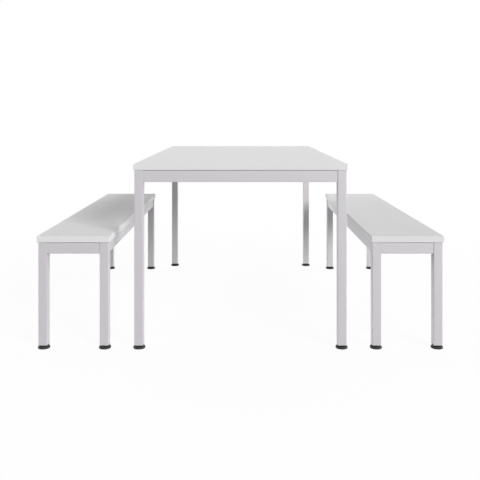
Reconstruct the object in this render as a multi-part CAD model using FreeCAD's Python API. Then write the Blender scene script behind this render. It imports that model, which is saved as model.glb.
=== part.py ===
"""Canteen table with two free-standing benches, in millimetres.

Each of the three units is a melamine-faced board with a glued edging, on a welded frame of rectangular
legs and rails, with a levelling foot screwed into a plastic insert in each leg. X runs across the
table, Y runs along it and +Z is up. The origin is on the floor under the middle of the table.
"""

import FreeCAD, Part

import math
import os

# Table
TABLE_LENGTH = 1508.0
TABLE_WIDTH = 854.0
TABLE_HEIGHT = 740.0
TABLE_OVERHANG = 3.0
TABLE_RAIL_HEIGHT = 47.0

# Benches
BENCH_LENGTH = 1430.0
BENCH_WIDTH = 290.0
BENCH_HEIGHT = 452.0
BENCH_OVERHANG = 5.0
BENCH_RAIL_HEIGHT = 45.0
BENCH_GAP = 95.0

# Boards: the edging's thickness is part of the board's length and width
BOARD_THICKNESS = 25.0
EDGING_THICKNESS = 2.0
EDGE_ROUNDING = 1.5

# Steel tubes of the frames
LEG_WIDTH = 35.0
LEG_DEPTH = 40.0
LEG_WALL = 2.0
RAIL_DEPTH = 25.0
RAIL_SETBACK = 2.0
RAIL_WALL = 1.5
TUBE_OUTER_RADIUS = 2.0
TUBE_INNER_RADIUS = 0.8

# Fixings of the boards: a washer on each screw keeps the rail clear of the board
SPACER_THICKNESS = 1.0
SPACER_DIAMETER = 16.0
SCREW_DIAMETER = 4.5
SCREW_HEAD_DIAMETER = 9.0
SCREW_HEAD_HEIGHT = 2.6
SCREW_POINT_LENGTH = 3.0
SCREW_TIP_COVER = 7.0
SCREW_PITCH = 350.0
SCREW_FIT = 0.05
SCREW_CLEARANCE = 0.4
ACCESS_HOLE_DIAMETER = 13.0

# Leg inserts
INSERT_FLANGE = 2.5
INSERT_DEPTH = 25.0
INSERT_FIT = 0.1

# Levelling feet: a steel stud with a round head, turning in the insert, captured in a plastic base
FOOT_DIAMETER = 48.0
FOOT_HEIGHT = 12.2
FOOT_TOP_RISE = 5.7
FOOT_RIM_ROUNDING = 2.0
FOOT_SOLE_CHAMFER = 0.4
FOOT_HUB_DIAMETER = 26.0
FOOT_SEAT_GAP = 0.3
STUD_DIAMETER = 10.0
STUD_OVERRUN = 5.0
STUD_CHAMFER = 1.0
STUD_HEAD_FLANGE = 3.5
STUD_HEAD_HEIGHT = 3.0
STUD_HEAD_FLOOR = 3.0
RUNNING_FIT = 0.1

LEG_BOTTOM = FOOT_HEIGHT + FOOT_SEAT_GAP + INSERT_FLANGE

UP = FreeCAD.Vector(0, 0, 1)
ALONG_X = FreeCAD.Vector(1, 0, 0)
ALONG_Y = FreeCAD.Vector(0, 1, 0)
AXIS_BASE = FreeCAD.Vector(0, 0, 0)


class Unit:
    """The sizes and place of one board on its frame."""

    def __init__(self, name, length, width, height, overhang, rail_height, centre_x, frame_front):
        self.name = name
        self.length = length
        self.width = width
        self.height = height
        self.frame_length = length - 2 * overhang
        self.frame_width = width - 2 * overhang
        self.rail_height = rail_height
        self.centre_x = centre_x
        self.centre_y = frame_front + self.frame_length / 2
        self.underside = height - BOARD_THICKNESS
        self.rail_top = self.underside - SPACER_THICKNESS
        self.rail_bottom = self.rail_top - rail_height
        self.leg_offset_x = (self.frame_width - LEG_WIDTH) / 2
        self.leg_offset_y = (self.frame_length - LEG_DEPTH) / 2
        self.rail_offset_x = (self.frame_width - RAIL_DEPTH) / 2 - RAIL_SETBACK
        self.rail_offset_y = (self.frame_length - RAIL_DEPTH) / 2 - RAIL_SETBACK

    def point(self, x, y, z):
        """A point given from the unit's own centre line, in the part's frame."""
        return FreeCAD.Vector(self.centre_x + x, self.centre_y + y, z)

    def corners(self):
        """The four corners' names and the middle of each leg."""
        for side_y, name_y in ((-1, "front"), (1, "back")):
            for side_x, name_x in ((-1, "left"), (1, "right")):
                yield name_y + "_" + name_x, side_x * self.leg_offset_x, side_y * self.leg_offset_y

    def screw_points(self):
        """The middle of each screw, from the unit's centre."""
        for y in spread(self.frame_length - 2 * LEG_DEPTH):
            yield -self.rail_offset_x, y
            yield self.rail_offset_x, y
        for x in spread(self.frame_width - 2 * LEG_WIDTH):
            yield x, -self.rail_offset_y
            yield x, self.rail_offset_y


def spread(span):
    """Evenly spaced places along a rail, about one screw pitch apart."""
    count = max(1, int(span // SCREW_PITCH))
    step = span / count
    return [(index + 0.5) * step - span / 2 for index in range(count)]


def rounded_rectangle(width, height, radius):
    """A flat face about the origin, in the XY plane, with round corners."""
    half_x = width / 2
    half_y = height / 2
    straight_x = half_x - radius
    straight_y = half_y - radius
    middle = radius * math.sqrt(0.5)
    edges = []
    for quarter in range(4):
        turn = FreeCAD.Rotation(UP, 90 * quarter)
        along, across = (straight_x, straight_y) if quarter % 2 == 0 else (straight_y, straight_x)
        reach = along + radius
        start = turn.multVec(FreeCAD.Vector(reach, -across, 0))
        corner = turn.multVec(FreeCAD.Vector(reach, across, 0))
        bend = turn.multVec(FreeCAD.Vector(along + middle, across + middle, 0))
        finish = turn.multVec(FreeCAD.Vector(along, across + radius, 0))
        edges.append(Part.LineSegment(start, corner).toShape())
        edges.append(Part.Arc(corner, bend, finish).toShape())
    return Part.Face(Part.Wire(edges))


def upright_bar(width, depth, radius, bottom, top):
    """A solid bar about the Z axis, with round upright corners."""
    bar = rounded_rectangle(width, depth, radius).extrude(UP * (top - bottom))
    bar.translate(UP * bottom)
    return bar


def tube(width, depth, wall, length):
    """A tube along Z from the origin, with its hollow open at both ends."""
    outside = upright_bar(width, depth, TUBE_OUTER_RADIUS, 0, length)
    hollow = upright_bar(width - 2 * wall, depth - 2 * wall, TUBE_INNER_RADIUS, 0, length)
    return outside.cut(hollow)


def cylinder(diameter, height, bottom):
    """A cylinder on the Z axis."""
    return Part.makeCylinder(diameter / 2, height, UP * bottom)


def turned(points):
    """A solid turned about the Z axis from an outline of radius and height pairs."""
    outline = [FreeCAD.Vector(radius, 0, height) for radius, height in points]
    return Part.Face(Part.makePolygon(outline + outline[:1])).revolve(AXIS_BASE, UP, 360)


def placed(shape, place):
    """A copy of a shape, moved from the origin to a place."""
    copy = shape.copy()
    copy.translate(place)
    return copy


def save(shape, name):
    """Write one node."""
    shape.exportStep("parts/" + name + ".step")


def board_envelope(unit):
    """The board with its edging on, and with every outer edge rounded."""
    corner = unit.point(-unit.width / 2, -unit.length / 2, unit.underside)
    block = Part.makeBox(unit.width, unit.length, BOARD_THICKNESS, corner)
    return block.makeFillet(EDGE_ROUNDING, block.Edges)


def core_block(unit):
    """The room that the edging leaves for the board itself."""
    width = unit.width - 2 * EDGING_THICKNESS
    length = unit.length - 2 * EDGING_THICKNESS
    return Part.makeBox(width, length, BOARD_THICKNESS, unit.point(-width / 2, -length / 2, unit.underside))


def board(unit):
    """The melamine-faced board, with blind pilot holes for the screws."""
    block = board_envelope(unit).common(core_block(unit))
    pilot = screw_body(SCREW_FIT, BOARD_THICKNESS - SCREW_TIP_COVER + SCREW_FIT)
    return block.cut([placed(pilot, unit.point(x, y, unit.underside)) for x, y in unit.screw_points()])


def edging(unit):
    """Four strips round the board: the two long ones lie between the two short ones."""
    envelope = board_envelope(unit)
    end_offset = (unit.length - EDGING_THICKNESS) / 2
    ends = []
    for side in (-1, 1):
        corner = unit.point(-unit.width / 2, side * end_offset - EDGING_THICKNESS / 2, unit.underside)
        ends.append(Part.makeBox(unit.width, EDGING_THICKNESS, BOARD_THICKNESS, corner))
    short_strips = [envelope.common(end).Solids[0] for end in ends]
    long_strips = envelope.cut(ends + [core_block(unit)]).Solids
    return Part.makeCompound(short_strips + long_strips)


def leg(unit, x, y):
    """A rectangular tube from the insert's flange up to the underside of the board."""
    bar = tube(LEG_WIDTH, LEG_DEPTH, LEG_WALL, unit.underside - LEG_BOTTOM)
    return placed(bar, unit.point(x, y, LEG_BOTTOM))


def rail_bar(unit, span):
    """A rail lying along Y about the origin, with its top at the rails' height."""
    bar = tube(RAIL_DEPTH, unit.rail_height, RAIL_WALL, span)
    bar.rotate(AXIS_BASE, ALONG_X, -90)
    bar.translate(FreeCAD.Vector(0, -span / 2, (unit.rail_top + unit.rail_bottom) / 2))
    return bar


def rail_holes(unit, span):
    """Holes for the screws' shanks in the upper wall, and for a screwdriver in the lower one."""
    shank = cylinder(SCREW_DIAMETER + 2 * SCREW_CLEARANCE, 3 * RAIL_WALL, unit.rail_top - 2 * RAIL_WALL)
    access = cylinder(ACCESS_HOLE_DIAMETER, 3 * RAIL_WALL, unit.rail_bottom - RAIL_WALL)
    return [placed(hole, ALONG_Y * y) for y in spread(span) for hole in (shank, access)]


def side_rail(unit, side):
    """A long rail between two legs, set back a little from their outer faces."""
    span = unit.frame_length - 2 * LEG_DEPTH
    rail = rail_bar(unit, span).cut(rail_holes(unit, span))
    return placed(rail, unit.point(side * unit.rail_offset_x, 0, 0))


def end_rail(unit, side):
    """A short rail between two legs, set back a little from their outer faces."""
    span = unit.frame_width - 2 * LEG_WIDTH
    rail = rail_bar(unit, span).cut(rail_holes(unit, span))
    rail.rotate(AXIS_BASE, UP, 90)
    return placed(rail, unit.point(0, side * unit.rail_offset_y, 0))


def screw_body(allowance, length):
    """A screw's shank and point above the origin, or its pilot hole with an allowance all round."""
    radius = SCREW_DIAMETER / 2 + allowance
    return turned([(0, 0), (radius, 0), (radius, length - SCREW_POINT_LENGTH), (0, length)])


def screw(unit):
    """A wood screw on the Z axis, with its head against the inside of the rail's upper wall."""
    seat = unit.rail_top - RAIL_WALL
    grip = BOARD_THICKNESS - SCREW_TIP_COVER
    shank = placed(screw_body(0, unit.underside - seat + grip), UP * seat)
    head = cylinder(SCREW_HEAD_DIAMETER, SCREW_HEAD_HEIGHT, seat - SCREW_HEAD_HEIGHT)
    return shank.fuse(head).removeSplitter()


def spacer(unit):
    """A washer on the Z axis, between the rail and the board."""
    ring = cylinder(SPACER_DIAMETER, SPACER_THICKNESS, unit.rail_top)
    return ring.cut(cylinder(SCREW_DIAMETER + 2 * SCREW_CLEARANCE, SPACER_THICKNESS, unit.rail_top))


def board_fixings(unit):
    """Every screw of the board, each with its washer."""
    pieces = (screw(unit), spacer(unit))
    solids = [placed(piece, unit.point(x, y, 0)) for x, y in unit.screw_points() for piece in pieces]
    return Part.makeCompound([solid.Solids[0] for solid in solids])


def insert():
    """A plug for a leg's lower end, with a flange under the tube and a bore for the stud."""
    bottom = LEG_BOTTOM - INSERT_FLANGE
    top = LEG_BOTTOM + INSERT_DEPTH
    margin = 2 * LEG_WALL + 2 * INSERT_FIT
    corner = TUBE_INNER_RADIUS + INSERT_FIT
    flange = upright_bar(LEG_WIDTH, LEG_DEPTH, TUBE_OUTER_RADIUS, bottom, LEG_BOTTOM)
    plug = upright_bar(LEG_WIDTH - margin, LEG_DEPTH - margin, corner, LEG_BOTTOM, top)
    bore = cylinder(STUD_DIAMETER + 2 * RUNNING_FIT, top - bottom, bottom)
    return flange.fuse(plug).cut(bore).removeSplitter()


def leg_inserts(unit):
    """The four plugs of one unit."""
    plugs = [placed(insert(), unit.point(x, y, 0)) for _, x, y in unit.corners()]
    return Part.makeCompound([plug.Solids[0] for plug in plugs])


def foot_stud():
    """A stud on the Z axis, with the round head that the base holds."""
    radius = STUD_DIAMETER / 2
    head = radius + STUD_HEAD_FLANGE
    head_top = STUD_HEAD_FLOOR + STUD_HEAD_HEIGHT
    top = LEG_BOTTOM + INSERT_DEPTH + STUD_OVERRUN
    return turned([
        (0, STUD_HEAD_FLOOR),
        (head, STUD_HEAD_FLOOR),
        (head, head_top),
        (radius, head_top),
        (radius, top - STUD_CHAMFER),
        (radius - STUD_CHAMFER, top),
        (0, top),
    ])


def foot_base():
    """A low round base on the Z axis, closed round the stud's head with a running clearance."""
    rim = FOOT_DIAMETER / 2
    rim_height = FOOT_HEIGHT - FOOT_TOP_RISE
    block = turned([
        (0, 0),
        (rim - FOOT_SOLE_CHAMFER, 0),
        (rim, FOOT_SOLE_CHAMFER),
        (rim, rim_height),
        (FOOT_HUB_DIAMETER / 2, FOOT_HEIGHT),
        (0, FOOT_HEIGHT),
    ])
    rim_edge = [edge for edge in block.Edges if level_at(edge, rim_height)]
    head_room = cylinder(
        STUD_DIAMETER + 2 * STUD_HEAD_FLANGE + 2 * RUNNING_FIT,
        STUD_HEAD_HEIGHT + 2 * RUNNING_FIT,
        STUD_HEAD_FLOOR - RUNNING_FIT,
    )
    bore = cylinder(STUD_DIAMETER + 2 * RUNNING_FIT, FOOT_HEIGHT, STUD_HEAD_FLOOR)
    return block.makeFillet(FOOT_RIM_ROUNDING, rim_edge).cut([head_room, bore])


def level_at(edge, height):
    """Whether an edge lies level at a height."""
    return all(math.isclose(vertex.Z, height) for vertex in edge.Vertexes)


def save_unit(unit):
    """Write every node of one table or bench."""
    save(board(unit), unit.name + "_board")
    save(edging(unit), unit.name + "_edging")
    save(board_fixings(unit), unit.name + "_board_fixings")
    save(leg_inserts(unit), unit.name + "_leg_inserts")
    for side, name in ((-1, "left"), (1, "right")):
        save(side_rail(unit, side), unit.name + "_side_rail_" + name)
    for side, name in ((-1, "front"), (1, "back")):
        save(end_rail(unit, side), unit.name + "_end_rail_" + name)
    for corner, x, y in unit.corners():
        save(leg(unit, x, y), unit.name + "_leg_" + corner)
        save(placed(foot_stud(), unit.point(x, y, 0)), unit.name + "_foot_stud_" + corner)
        save(placed(foot_base(), unit.point(x, y, 0)), unit.name + "_foot_base_" + corner)


def units():
    """The table, and a bench beside each of its long edges, with the frames' front faces in line."""
    table_front = TABLE_OVERHANG - TABLE_LENGTH / 2
    bench_x = (TABLE_WIDTH + BENCH_WIDTH) / 2 + BENCH_GAP
    bench_sizes = (BENCH_LENGTH, BENCH_WIDTH, BENCH_HEIGHT, BENCH_OVERHANG, BENCH_RAIL_HEIGHT)
    table_sizes = (TABLE_LENGTH, TABLE_WIDTH, TABLE_HEIGHT, TABLE_OVERHANG, TABLE_RAIL_HEIGHT)
    return [
        Unit("table", *table_sizes, 0, table_front),
        Unit("bench_left", *bench_sizes, -bench_x, table_front),
        Unit("bench_right", *bench_sizes, bench_x, table_front),
    ]


os.makedirs("parts", exist_ok=True)
for furniture in units():
    save_unit(furniture)
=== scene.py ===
"""The looks of a canteen table and its two free-standing benches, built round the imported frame.

Each unit is a melamine-faced board with glued plastic edging, on a welded and powder-coated frame of
rectangular legs and rails, standing on screw-in levelling feet. Every place is read from the CAD
node that a piece stands for, so nothing is fitted by eye. X runs across the table, Y along it, Z is up.
"""

import logging
import math
from collections.abc import Callable, Iterator, Sequence
from dataclasses import dataclass
from enum import Enum

import bmesh
import bpy
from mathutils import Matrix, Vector


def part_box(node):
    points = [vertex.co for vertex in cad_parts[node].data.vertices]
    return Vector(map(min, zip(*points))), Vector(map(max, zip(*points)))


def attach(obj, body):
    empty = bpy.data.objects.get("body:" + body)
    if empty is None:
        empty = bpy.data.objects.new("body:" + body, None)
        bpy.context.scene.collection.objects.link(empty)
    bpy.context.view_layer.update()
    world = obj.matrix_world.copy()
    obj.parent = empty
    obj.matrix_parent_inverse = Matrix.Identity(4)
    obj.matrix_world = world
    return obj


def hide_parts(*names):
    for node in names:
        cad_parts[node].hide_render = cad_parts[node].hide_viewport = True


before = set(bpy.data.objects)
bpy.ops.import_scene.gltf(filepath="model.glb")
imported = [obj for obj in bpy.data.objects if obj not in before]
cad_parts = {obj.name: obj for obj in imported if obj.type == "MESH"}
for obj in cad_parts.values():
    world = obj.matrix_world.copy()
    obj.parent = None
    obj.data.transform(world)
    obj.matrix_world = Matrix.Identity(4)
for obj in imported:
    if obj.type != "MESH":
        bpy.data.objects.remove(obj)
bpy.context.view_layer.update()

LOG = logging.getLogger("canteen_set")

MM = 0.001
TINY = 0.01 * MM
FULL_TURN = 2 * math.pi
ORIGIN = Vector((0, 0, 0))
STILL = Vector((0, 0, 0))
UPWARD = Vector((0, 0, 1))
# The least cosine of two directions that count as parallel.
PARALLEL = 0.99

Colour = tuple[float, float, float]
Edge = bmesh.types.BMEdge
Face = bmesh.types.BMFace
MeshPart = bmesh.types.BMVert | Edge | Face
Outputs = bpy.types.NodeOutputs
Piece = bpy.types.Object
Socket = bpy.types.NodeSocket
Sockets = dict[str | int, object]


class Axis(Enum):
    """The direction that a length of stock runs in."""

    X = 0
    Y = 1
    Z = 2

    @property
    def vector(self) -> Vector:
        """A unit vector along this axis."""
        return Vector(1.0 if index == self.value else 0.0 for index in range(3))

    @property
    def across(self) -> tuple[int, int]:
        """The indices of the two axes square to this one."""
        return tuple(index for index in range(3) if index != self.value)

    def holds(self, way: Vector) -> bool:
        """Whether a direction runs along this axis, either way."""
        return abs(way.normalized().dot(self.vector)) > PARALLEL


class Kind(Enum):
    """The kind of mesh part that is selected."""

    VERTICES = "VERT"
    EDGES = "EDGE"
    FACES = "FACE"


class Joinery(Enum):
    """What is done to a piece with the room of another one."""

    CUT = "DIFFERENCE"
    ADD = "UNION"
    KEEP = "INTERSECT"


@dataclass(frozen=True)
class Box:
    """A block of space between its lowest and highest corners."""

    low: Vector
    high: Vector

    @staticmethod
    def of(node: str) -> "Box":
        """The room that a CAD node takes at rest."""
        return Box(*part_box(node))

    @property
    def centre(self) -> Vector:
        """The middle of the box."""
        return (self.low + self.high) / 2

    @property
    def size(self) -> Vector:
        """The box's three side lengths."""
        return self.high - self.low

    def point(self, x: float, y: float, z: float) -> Vector:
        """A point given by shares from the middle (0) to the sides (-1 and 1)."""
        return self.centre + Vector((x * self.size.x, y * self.size.y, z * self.size.z)) / 2

    def depths(self, place: Vector, axes: Sequence[int] = range(3)) -> list[float]:
        """How far a place lies inside the nearer side, measured along each of some axes."""
        return [min(place[i] - self.low[i], self.high[i] - place[i]) for i in axes]


@dataclass(frozen=True)
class Corner:
    """A point of a turned outline, with the length that its rounding takes off each side."""

    radius: float
    height: float
    rounding: float = 0.0

    @property
    def place(self) -> Vector:
        """The point in the XZ plane, beside the world's Z axis."""
        return Vector((self.radius, 0, self.height))


class Hand:
    """The moves that shape a mesh, each made with operators on the piece in hand."""

    ROUND_STEPS = 5
    SMALL_STEPS = 3

    @staticmethod
    def release() -> None:
        """Leave edit mode and let go of every object."""
        if bpy.context.mode != "OBJECT":
            bpy.ops.object.mode_set(mode="OBJECT")
        bpy.ops.object.select_all(action="DESELECT")

    @staticmethod
    def take(*pieces: Piece) -> None:
        """Select some objects and nothing else.

        Args:
            pieces: The objects, of which the first becomes the active one.
        """
        Hand.release()
        for piece in pieces:
            piece.select_set(True)
        bpy.context.view_layer.objects.active = pieces[0]

    @staticmethod
    def edit(piece: Piece, kind: Kind, everything: bool = False) -> bmesh.types.BMesh:
        """Open a piece in edit mode.

        Args:
            piece: The object to work on.
            kind: What is to be selected.
            everything: Whether all of it is selected at once, or nothing.

        Returns:
            The mesh being edited.
        """
        Hand.take(piece)
        bpy.ops.object.mode_set(mode="EDIT")
        bpy.ops.mesh.select_mode(type=kind.value)
        bpy.ops.mesh.select_all(action="SELECT" if everything else "DESELECT")
        return bmesh.from_edit_mesh(piece.data)

    @staticmethod
    def choose(piece: Piece, kind: Kind, wanted: Callable[[MeshPart], bool]) -> None:
        """Select the parts of a mesh that pass a test, and stay in edit mode.

        Args:
            piece: The object to work on.
            kind: What is to be selected.
            wanted: The test that is put to each vertex, edge or face.
        """
        mesh = Hand.edit(piece, kind)
        parts = {Kind.VERTICES: mesh.verts, Kind.EDGES: mesh.edges, Kind.FACES: mesh.faces}
        for part in parts[kind]:
            part.select_set(wanted(part))
        mesh.select_flush_mode()
        bmesh.update_edit_mesh(piece.data)

    @staticmethod
    def settle(name: str) -> Piece:
        """Name the active object and put its place, turn and size into its mesh.

        Args:
            name: The name of the object and of its mesh.

        Returns:
            The object, with its origin at the world's.
        """
        piece = bpy.context.object
        piece.name = name
        piece.data.name = name
        bpy.ops.object.transform_apply(location=True, rotation=True, scale=True)
        return piece

    @staticmethod
    def block(name: str, box: Box) -> Piece:
        """Start a piece as a cube.

        Args:
            name: The new object's name.
            box: The room that it fills.

        Returns:
            The block.
        """
        Hand.release()
        bpy.ops.mesh.primitive_cube_add(size=1, location=box.centre, scale=box.size)
        return Hand.settle(name)

    @staticmethod
    def rod(name: str, radius: float, bottom: Vector, top: Vector, sides: int) -> Piece:
        """Start a piece as an upright cylinder.

        Args:
            name: The new object's name.
            radius: Its radius.
            bottom: The middle of its lower end.
            top: The middle of its upper end.
            sides: The facets round it.

        Returns:
            The rod.
        """
        Hand.release()
        bpy.ops.mesh.primitive_cylinder_add(
            vertices=sides, radius=radius, depth=(top - bottom).length, location=(bottom + top) / 2
        )
        return Hand.settle(name)

    @staticmethod
    def bevel(width: float, steps: int = 1, affect: Kind = Kind.EDGES) -> None:
        """Round what is selected, or cut it off flat in one step."""
        bpy.ops.mesh.bevel(offset=width, segments=steps, affect=affect.name, clamp_overlap=False)

    @staticmethod
    def extrude(move: Vector, widen: float = 1.0, about: Vector = ORIGIN) -> None:
        """Extrude what is selected, then scale it across the Z axis.

        Args:
            move: How far the new face or vertex travels.
            widen: Its new width as a share of the old one.
            about: The point that it is scaled about.
        """
        bpy.ops.mesh.extrude_region_move(TRANSFORM_OT_translate={"value": move})
        if widen != 1.0:
            bpy.ops.transform.resize(value=(widen, widen, 1), center_override=about)

    @staticmethod
    def modify(piece: Piece, kind: str, **settings: object) -> None:
        """Put one modifier on a piece and apply it.

        Args:
            piece: The object to change.
            kind: The modifier's type.
            settings: The modifier's own values.
        """
        Hand.take(piece)
        modifier = piece.modifiers.new(kind.title(), kind)
        for name, value in settings.items():
            setattr(modifier, name, value)
        bpy.ops.object.modifier_apply(modifier=modifier.name)

    @staticmethod
    def combine(piece: Piece, other: Piece, joinery: Joinery) -> None:
        """Cut, add or keep the room of another piece, which is used up."""
        Hand.modify(piece, "BOOLEAN", object=other, operation=joinery.value, solver="EXACT")
        Hand.discard(other)

    @staticmethod
    def join(name: str, pieces: Sequence[Piece]) -> Piece:
        """Make several objects one.

        Args:
            name: The name of the whole.
            pieces: The objects, of which the first takes up the others.

        Returns:
            The first object, with all the meshes in it.
        """
        Hand.take(*pieces)
        bpy.ops.object.join()
        pieces[0].name = name
        return pieces[0]

    @staticmethod
    def copy(piece: Piece, name: str, move: Vector) -> Piece:
        """Copy a piece, with its own mesh, to another place.

        Args:
            piece: The object to copy.
            name: The copy's name.
            move: How far the copy lies from the original.

        Returns:
            The copy.
        """
        Hand.take(piece)
        bpy.ops.object.duplicate(linked=False)
        bpy.ops.transform.translate(value=move)
        return Hand.settle(name)

    @staticmethod
    def discard(*pieces: Piece) -> None:
        """Throw away pieces that are no longer needed."""
        for piece in pieces:
            bpy.data.objects.remove(piece)

    @staticmethod
    def heal(piece: Piece) -> None:
        """Merge the doubles of a closed shape and turn its faces outwards.

        Args:
            piece: The object to heal.
        """
        Hand.edit(piece, Kind.VERTICES, everything=True)
        bpy.ops.mesh.remove_doubles(threshold=TINY)
        bpy.ops.mesh.normals_make_consistent(inside=False)
        Hand.release()

    @staticmethod
    def draw(name: str, corners: Sequence[Corner]) -> Piece:
        """Draw an outline beside the Z axis by extruding one vertex from corner to corner.

        Args:
            name: The new object's name.
            corners: The outline's points; it closes where the last is the first again.

        Returns:
            The outline, with its corners rounded.
        """
        Hand.release()
        bpy.ops.mesh.primitive_plane_add(size=MM, location=corners[0].place)
        outline = Hand.settle(name)
        Hand.edit(outline, Kind.VERTICES, everything=True)
        bpy.ops.mesh.merge(type="CENTER")
        for before, after in zip(corners, corners[1:]):
            Hand.extrude(after.place - before.place)
        bpy.ops.mesh.select_all(action="SELECT")
        bpy.ops.mesh.remove_doubles(threshold=TINY)
        for corner in corners:
            if corner.rounding:
                place = corner.place
                Hand.choose(outline, Kind.VERTICES, lambda vertex: (vertex.co - place).length < TINY)
                Hand.bevel(corner.rounding, Hand.ROUND_STEPS, Kind.VERTICES)
        return outline

    @staticmethod
    def turn(name: str, corners: Sequence[Corner], sides: int) -> Piece:
        """Spin an outline into a closed shape about the world's Z axis.

        Args:
            name: The new object's name.
            corners: The outline, from axis to axis or closed on itself.
            sides: How many steps the full turn has.

        Returns:
            The turned shape.
        """
        piece = Hand.draw(name, corners)
        Hand.edit(piece, Kind.VERTICES, everything=True)
        bpy.ops.mesh.spin(steps=sides, angle=FULL_TURN, center=ORIGIN, axis=UPWARD)
        Hand.heal(piece)
        return piece

    @staticmethod
    def smooth(piece: Piece, angle: float = 35.0) -> None:
        """Shade a piece smooth, with its flats kept flat.

        Args:
            piece: The object to shade.
            angle: The sharpest edge that is smoothed, in degrees.
        """
        Hand.take(piece)
        bpy.ops.object.shade_smooth_by_angle(angle=math.radians(angle))
        Hand.modify(piece, "WEIGHTED_NORMAL", mode="FACE_AREA", keep_sharp=True)


def looks_up(face: Face) -> bool:
    """Whether a face looks straight up."""
    return face.normal.z > PARALLEL


class Graph:
    """A node tree, with short calls that add and link its nodes."""

    def __init__(self, tree: bpy.types.NodeTree) -> None:
        """Take an empty or existing tree."""
        self.tree = tree

    def feed(self, node: bpy.types.Node, inputs: Sockets) -> None:
        """Link or set some inputs of a node.

        Args:
            node: The node.
            inputs: For each input's name or number, an output to link or a value to set.
        """
        for name, value in inputs.items():
            if isinstance(value, Socket):
                self.tree.links.new(value, node.inputs[name])
            else:
                node.inputs[name].default_value = value

    def add(self, kind: str, inputs: Sockets | None = None, **settings: object) -> bpy.types.Node:
        """Add a node.

        Args:
            kind: The node's type, without its ShaderNode prefix.
            inputs: What goes into it, as for feed.
            settings: The node's own options.

        Returns:
            The new node.
        """
        node = self.tree.nodes.new("ShaderNode" + kind)
        for name, value in settings.items():
            setattr(node, name, value)
        self.feed(node, inputs or {})
        return node

    def math(self, operation: str, first: object, second: object = 0.0) -> Socket:
        """Work out one number from two."""
        return self.add("Math", {0: first, 1: second}, operation=operation).outputs[0]

    def span(self, value: object, low: float, high: float, start: float = 0.0, end: float = 1.0) -> Socket:
        """Carry a number from one range over to another, held at its ends."""
        sockets = {"Value": value, "From Min": low, "From Max": high, "To Min": start, "To Max": end}
        return self.add("MapRange", sockets).outputs["Result"]

    def blend(self, mask: object, first: Colour, second: Colour) -> Socket:
        """Mix two colours.

        Args:
            mask: 0 for the first colour and 1 for the second.
            first: A colour.
            second: Another one.

        Returns:
            The mixed colour.
        """
        node = self.add("Mix", {"Factor": mask}, data_type="RGBA")
        node.inputs["A"].default_value = (*first, 1)
        node.inputs["B"].default_value = (*second, 1)
        return node.outputs["Result"]

    def noise(self, vector: object, scale: object, detail: float) -> Socket:
        """Soft random values, about 0.5."""
        return self.add("TexNoise", {"Vector": vector, "Scale": scale, "Detail": detail}).outputs["Fac"]

    def along_z(self, vector: object) -> Socket:
        """The Z part of a vector."""
        return self.add("SeparateXYZ", {"Vector": vector}).outputs["Z"]


class SurfaceGraph(Graph):
    """A material's node tree, with the place and the normal of each point of the surface."""

    def __init__(self, tree: bpy.types.NodeTree) -> None:
        """Take a new material's tree."""
        super().__init__(tree)
        coordinates = self.add("TexCoord").outputs
        self.place = coordinates["Object"]
        self.normal = coordinates["Normal"]


@dataclass(frozen=True)
class Effect:
    """A shader node group that several finishes share.

    Attributes:
        name: The group's name.
        inputs: Each input's name and its value by default; the vectors have None.
        output: The name of the one value that comes out.
        wire: Builds the nodes between a group input and the value that goes out.
    """

    name: str
    inputs: tuple[tuple[str, float | None], ...]
    output: str
    wire: Callable[[Graph, Outputs], Socket]

    def group(self) -> bpy.types.NodeTree:
        """Build the node group, at its first use.

        Returns:
            The group.
        """
        if self.name in bpy.data.node_groups:
            return bpy.data.node_groups[self.name]
        group = bpy.data.node_groups.new(self.name, "ShaderNodeTree")
        for name, value in self.inputs:
            kind = "NodeSocketVector" if value is None else "NodeSocketFloat"
            socket = group.interface.new_socket(name=name, in_out="INPUT", socket_type=kind)
            if value is not None:
                socket.default_value = value
        group.interface.new_socket(name=self.output, in_out="OUTPUT", socket_type="NodeSocketFloat")
        entry = group.nodes.new("NodeGroupInput")
        leave = group.nodes.new("NodeGroupOutput")
        group.links.new(self.wire(Graph(group), entry.outputs), leave.inputs[self.output])
        return group

    def place(self, graph: Graph, inputs: Sockets) -> Socket:
        """Put the group in a material, with that material's own values."""
        return graph.add("Group", inputs, node_tree=self.group()).outputs[self.output]


def wire_skin(graph: Graph, entry: Outputs) -> Socket:
    """Soft dimples with a finer grain on them, as on a coating or a moulded skin.

    Args:
        graph: The group's graph.
        entry: What comes into the group.

    Returns:
        The height of the skin.
    """
    grain_fineness = 4.7
    scale = graph.math("DIVIDE", 1.0, entry["Feature Size"])
    dimples = graph.noise(entry["Vector"], scale, detail=1.0)
    grain = graph.noise(entry["Vector"], graph.math("MULTIPLY", scale, grain_fineness), detail=2.0)
    return graph.math("ADD", dimples, graph.math("MULTIPLY", grain, entry["Grain"]))


def wire_handling(graph: Graph, entry: Outputs) -> Socket:
    """Broad, broken patches where hands and cloths have passed over a surface.

    Args:
        graph: The group's graph.
        entry: What comes into the group.

    Returns:
        The mask of the marks.
    """
    patch_band = (0.38, 0.62)
    streak_band = (0.4, 0.7)
    streak_fineness = 9.0
    streak_floor = 0.4
    scale = graph.math("DIVIDE", 1.0, entry["Patch Size"])
    patches = graph.span(graph.noise(entry["Vector"], scale, detail=3.0), *patch_band)
    streaks = graph.noise(entry["Vector"], graph.math("MULTIPLY", scale, streak_fineness), detail=4.0)
    return graph.math("MULTIPLY", patches, graph.span(streaks, *streak_band, streak_floor))


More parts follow.
